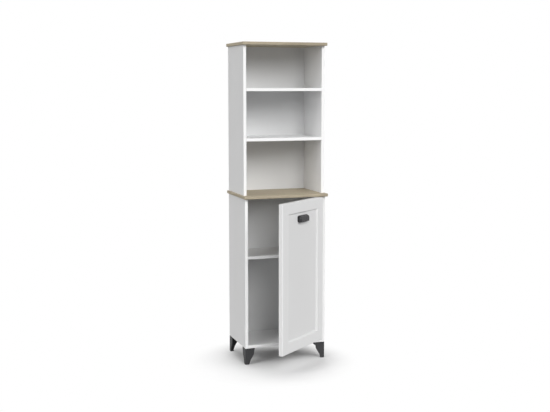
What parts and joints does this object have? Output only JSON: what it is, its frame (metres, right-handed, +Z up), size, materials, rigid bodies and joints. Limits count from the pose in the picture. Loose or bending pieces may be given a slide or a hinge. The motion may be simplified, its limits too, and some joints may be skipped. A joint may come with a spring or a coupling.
{
  "type": "tall bathroom cabinet",
  "caption": "Tall narrow bathroom cabinet: open shelf bays above a cupboard with a framed hinged door, between oak boards, on corner legs.",
  "frame": {"origin": "on the floor, at the centre of the bounding box of the cabinet as it stands with its door 39 degrees open", "axes": "+X to the right seen from the front, +Y from the front to the back, +Z up"},
  "size_m": [0.466, 0.5724, 1.7],
  "materials": {
    "white_board": "white melamine on particle board, satin",
    "white_door": "white lacquered fibreboard, satin",
    "white_hardboard": "white lacquered hardboard, satin",
    "oak_board": "light oak grain laminate, matt",
    "anthracite_plastic": "moulded, fine matt grain",
    "anthracite_paint": "powder coated, satin",
    "nickel_steel": "nickel plated",
    "zinc_steel": "zinc plated",
    "zinc_alloy": "die-cast zinc alloy, dull",
    "white_plastic": "moulded, satin"
  },
  "bodies": {
    "carcase": {"lower_side_left": "white_board", "lower_side_right": "white_board", "upper_side_left": "white_board", "upper_side_right": "white_board", "bottom_panel": "white_board", "cupboard_shelf": "white_board", "open_shelf_lower": "white_board", "open_shelf_upper": "white_board", "lower_back": "white_hardboard", "upper_back": "white_hardboard", "middle_board": "oak_board", "top_board": "oak_board", "leg_front_left": "anthracite_plastic", "leg_front_right": "anthracite_plastic", "leg_back_left": "anthracite_plastic", "leg_back_right": "anthracite_plastic", "hinge_plate_lower": "nickel_steel", "hinge_arm_lower": "nickel_steel", "hinge_plate_upper": "nickel_steel", "hinge_arm_upper": "nickel_steel", "shelf_pins": "nickel_steel", "leg_screws": "zinc_steel", "plate_screws": "zinc_steel", "cam_bolts": "zinc_steel", "cam_locks": "zinc_alloy", "cam_covers": "white_plastic"},
    "door": {"door_panel": "white_door", "door_rail_bottom": "white_door", "door_rail_top": "white_door", "door_stile_free": "white_door", "door_stile_hinge": "white_door", "cup_pull": "anthracite_paint", "pull_screws": "zinc_steel", "hinge_cup_lower": "nickel_steel", "hinge_cup_upper": "nickel_steel", "cup_screws": "zinc_steel"}
  },
  "joints": [
    {"name": "door_hinge", "type": "hinge", "parent": "carcase", "child": "door", "pos_m": [0.217, -0.01528, 0.4962], "axis": [0, 0, 1], "range_deg": [-39, 56]}
  ]
}
